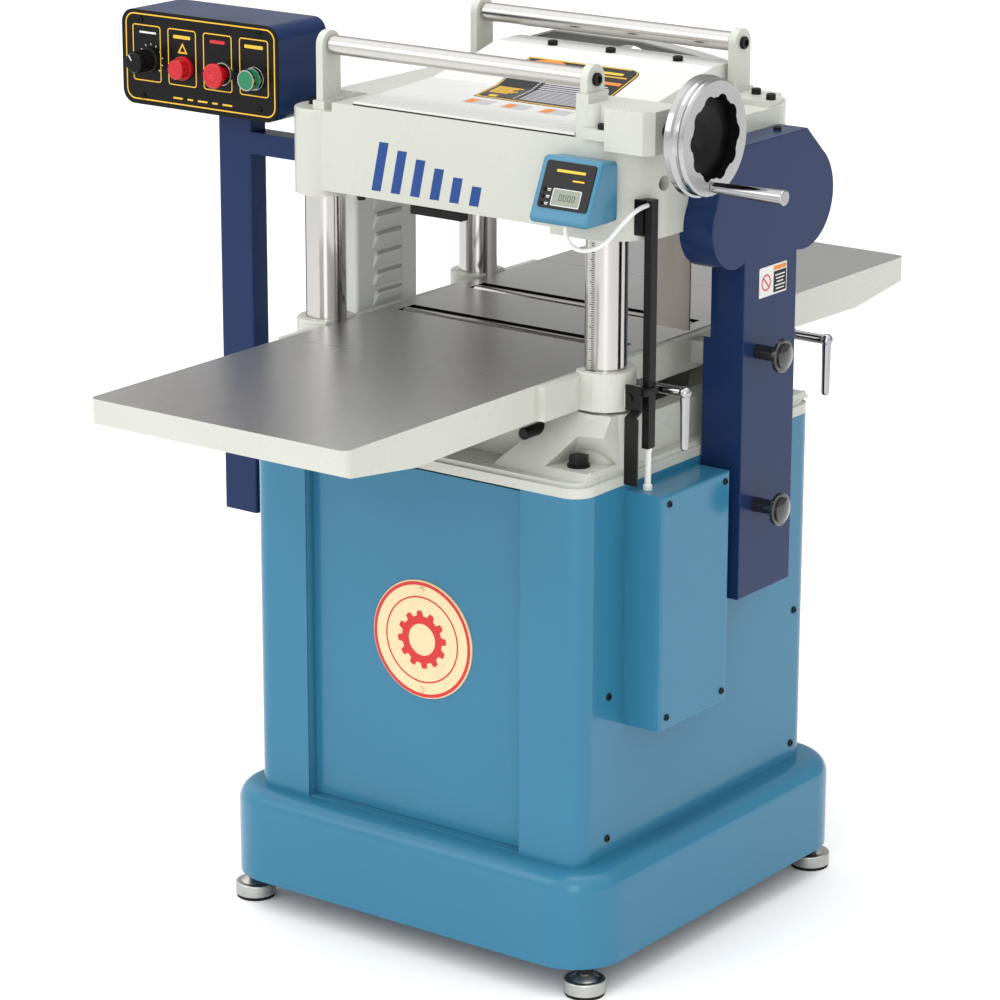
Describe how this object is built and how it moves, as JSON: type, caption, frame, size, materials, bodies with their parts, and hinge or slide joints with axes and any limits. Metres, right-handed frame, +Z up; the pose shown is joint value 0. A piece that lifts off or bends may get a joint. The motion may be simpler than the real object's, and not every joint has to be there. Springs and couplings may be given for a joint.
{
  "type": "thickness planer",
  "caption": "Workshop thickness planer on a cabinet stand, with a rising table between corner columns, handwheel, belt guard and control box.",
  "frame": {"origin": "middle of the bounding box, on the floor", "axes": "+X towards the handwheel and belt guard, +Y from infeed to outfeed (longest), +Z up"},
  "size_m": [1.057, 1.2964, 1.2145],
  "materials": {
    "stand_blue": "gloss",
    "navy": "gloss",
    "cream": "gloss",
    "grey_sheet": "satin",
    "readout_blue": "satin",
    "table_iron": "ground",
    "steel": "turned",
    "chrome": "polished",
    "black_steel": "satin",
    "black_plastic": "satin",
    "rubber": "matte",
    "motor_grey": "satin",
    "red": "gloss",
    "green": "gloss",
    "badge_cream": "satin",
    "cable_white": "satin"
  },
  "bodies": {
    "frame": {"badge": "badge_cream", "base_casting": "cream", "belt_guard": "navy", "cabinet_body": "stand_blue", "cabinet_front_panel": "stand_blue", "control_box": "navy", "control_plate": "black_plastic", "control_post": "navy", "depth_limiter": "black_steel", "drive_belts": "rubber", "drive_side_cover": "steel", "dro_cable": "cable_white", "dro_housing": "readout_blue", "dust_hood": "grey_sheet", "electrical_box": "stand_blue", "elevation_chains": "steel", "feed_motor_cover": "grey_sheet", "feet_soles": "rubber", "gear_housing": "cream", "guide_columns": "steel", "head_casting": "cream", "levelling_feet": "steel", "machine_screws": "black_steel", "motor": "motor_grey", "power_lamp": "red", "roller_brackets": "cream", "scale_bar": "black_steel", "stand_plinth": "stand_blue", "top_cover": "cream"},
    "table": {"table_casting": "table_iron", "infeed_extension": "table_iron", "outfeed_extension": "table_iron", "elevation_screws": "steel", "scale_reader": "black_steel"},
    "infeed_bed_roller": {"infeed_bed_roller": "steel"},
    "outfeed_bed_roller": {"outfeed_bed_roller": "steel"},
    "front_lock_lever": {"front_lock_lever": "chrome"},
    "rear_lock_lever": {"rear_lock_lever": "chrome"},
    "handwheel": {"handwheel": "chrome"},
    "handle": {"handwheel_handle": "chrome"},
    "nut_left": {"sprocket_nut_left": "steel"},
    "nut_right": {"sprocket_nut_right": "steel"},
    "lift_shaft": {"elevation_drive_shaft": "steel"},
    "cutterhead": {"cutterhead": "steel"},
    "motor_rotor": {"motor_pulley": "motor_grey"},
    "infeed_roller": {"infeed_roller": "steel"},
    "outfeed_roller": {"outfeed_roller": "rubber"},
    "kickback": {"kickback_fingers": "steel"},
    "front_return_roller": {"front_return_roller": "steel"},
    "rear_return_roller": {"rear_return_roller": "steel"},
    "lift_bar_left": {"lifting_bar_front_left": "black_steel"},
    "lift_bar_right": {"lifting_bar_front_right": "black_steel"},
    "guard_knob_upper": {"guard_knob_upper": "black_plastic"},
    "guard_knob_lower": {"guard_knob_lower": "black_plastic"},
    "speed_knob": {"speed_knob": "black_plastic"},
    "stop_button": {"stop_button": "red"},
    "start_button": {"start_button": "green"},
    "dro_button_upper": {"dro_button_upper": "black_plastic"},
    "dro_button_middle": {"dro_button_middle": "black_plastic"},
    "dro_button_lower": {"dro_button_lower": "black_plastic"}
  },
  "joints": [
    {"name": "handwheel_turn", "type": "hinge", "parent": "frame", "child": "handwheel", "pos_m": [0.4065, -0.14885, 1.138], "axis": [1, 0, 0], "range_deg": [0, 31502]},
    {"name": "handle_spin", "type": "hinge", "parent": "handwheel", "child": "handle", "pos_m": [0.4485, -0.15385, 1.077], "axis": [1, 0, 0], "continuous": true},
    {"name": "table_lift", "type": "slide", "parent": "frame", "child": "table", "axis": [0, 0, 1], "range_m": [0, 0.14]},
    {"name": "nut_left_turn", "type": "hinge", "parent": "frame", "child": "nut_left", "pos_m": [-0.1215, 0.02515, 0.68], "axis": [0, 0, 1], "range_deg": [-12602, 0]},
    {"name": "nut_right_turn", "type": "hinge", "parent": "frame", "child": "nut_right", "pos_m": [0.1785, 0.02515, 0.68], "axis": [0, 0, 1], "range_deg": [-12602, 0]},
    {"name": "lift_shaft_turn", "type": "hinge", "parent": "frame", "child": "lift_shaft", "pos_m": [0.2865, 0.08515, 0.8], "axis": [0, 0, 1], "range_deg": [-51662, 0]},
    {"name": "infeed_bed_roller_spin", "type": "hinge", "parent": "table", "child": "infeed_bed_roller", "pos_m": [0.0285, -0.03385, 0.8021], "axis": [1, 0, 0], "continuous": true},
    {"name": "outfeed_bed_roller_spin", "type": "hinge", "parent": "table", "child": "outfeed_bed_roller", "pos_m": [0.0285, 0.12815, 0.8021], "axis": [1, 0, 0], "continuous": true},
    {"name": "front_lever_swing", "type": "hinge", "parent": "table", "child": "front_lock_lever", "pos_m": [0.2885, -0.11905, 0.797], "axis": [1, 0, 0], "range_deg": [-60, 0]},
    {"name": "rear_lever_swing", "type": "hinge", "parent": "table", "child": "rear_lock_lever", "pos_m": [0.2885, 0.22335, 0.797], "axis": [1, 0, 0], "range_deg": [0, 60]},
    {"name": "cutterhead_spin", "type": "hinge", "parent": "frame", "child": "cutterhead", "pos_m": [0.0285, 0.04715, 1.041], "axis": [1, 0, 0], "continuous": true},
    {"name": "motor_spin", "type": "hinge", "parent": "frame", "child": "motor_rotor", "pos_m": [0.2285, 0.07715, 0.558], "axis": [1, 0, 0], "continuous": true},
    {"name": "infeed_roller_spin", "type": "hinge", "parent": "frame", "child": "infeed_roller", "pos_m": [0.0285, -0.03385, 1.028], "axis": [1, 0, 0], "continuous": true},
    {"name": "outfeed_roller_spin", "type": "hinge", "parent": "frame", "child": "outfeed_roller", "pos_m": [0.0285, 0.12815, 1.028], "axis": [1, 0, 0], "continuous": true},
    {"name": "kickback_swing", "type": "hinge", "parent": "frame", "child": "kickback", "pos_m": [0.0285, -0.09285, 1.04], "axis": [1, 0, 0], "range_deg": [0, 40]},
    {"name": "front_return_roller_spin", "type": "hinge", "parent": "frame", "child": "front_return_roller", "pos_m": [0.0285, -0.15585, 1.193], "axis": [1, 0, 0], "continuous": true},
    {"name": "rear_return_roller_spin", "type": "hinge", "parent": "frame", "child": "rear_return_roller", "pos_m": [0.0285, 0.18315, 1.193], "axis": [1, 0, 0], "continuous": true},
    {"name": "lift_bar_left_slide", "type": "slide", "parent": "frame", "child": "lift_bar_left", "axis": [0, -1, 0], "range_m": [0, 0.075]},
    {"name": "lift_bar_right_slide", "type": "slide", "parent": "frame", "child": "lift_bar_right", "axis": [0, -1, 0], "range_m": [0, 0.075]},
    {"name": "guard_knob_upper_turn", "type": "hinge", "parent": "frame", "child": "guard_knob_upper", "pos_m": [0.3985, 0.04515, 0.818], "axis": [1, 0, 0], "continuous": true},
    {"name": "guard_knob_lower_turn", "type": "hinge", "parent": "frame", "child": "guard_knob_lower", "pos_m": [0.3985, 0.04815, 0.609], "axis": [1, 0, 0], "continuous": true},
    {"name": "speed_knob_turn", "type": "hinge", "parent": "frame", "child": "speed_knob", "pos_m": [-0.4765, -0.19485, 1.145], "axis": [0, 1, 0], "range_deg": [0, 270]},
    {"name": "stop_press", "type": "slide", "parent": "frame", "child": "stop_button", "axis": [0, 1, 0], "range_m": [0, 0.005], "stiffness_N_per_m": 600},
    {"name": "start_press", "type": "slide", "parent": "frame", "child": "start_button", "axis": [0, 1, 0], "range_m": [0, 0.003], "stiffness_N_per_m": 600},
    {"name": "dro_upper_press", "type": "slide", "parent": "frame", "child": "dro_button_upper", "axis": [0, 0.9138, -0.4061], "range_m": [0, 0.0008], "stiffness_N_per_m": 400},
    {"name": "dro_middle_press", "type": "slide", "parent": "frame", "child": "dro_button_middle", "axis": [0, 0.9138, -0.4061], "range_m": [0, 0.0008], "stiffness_N_per_m": 400},
    {"name": "dro_lower_press", "type": "slide", "parent": "frame", "child": "dro_button_lower", "axis": [0, 0.9138, -0.4061], "range_m": [0, 0.0008], "stiffness_N_per_m": 400}
  ],
  "couplings": [
    {"joint": "handwheel_turn", "follows": "table_lift", "rad_per_m": 3927},
    {"joint": "nut_left_turn", "follows": "table_lift", "rad_per_m": -1570.8},
    {"joint": "nut_right_turn", "follows": "table_lift", "rad_per_m": -1570.8},
    {"joint": "lift_shaft_turn", "follows": "table_lift", "rad_per_m": -6440.3},
    {"joint": "motor_spin", "follows": "cutterhead_spin", "ratio": 0.6818},
    {"joint": "outfeed_roller_spin", "follows": "infeed_roller_spin", "ratio": 1}
  ]
}
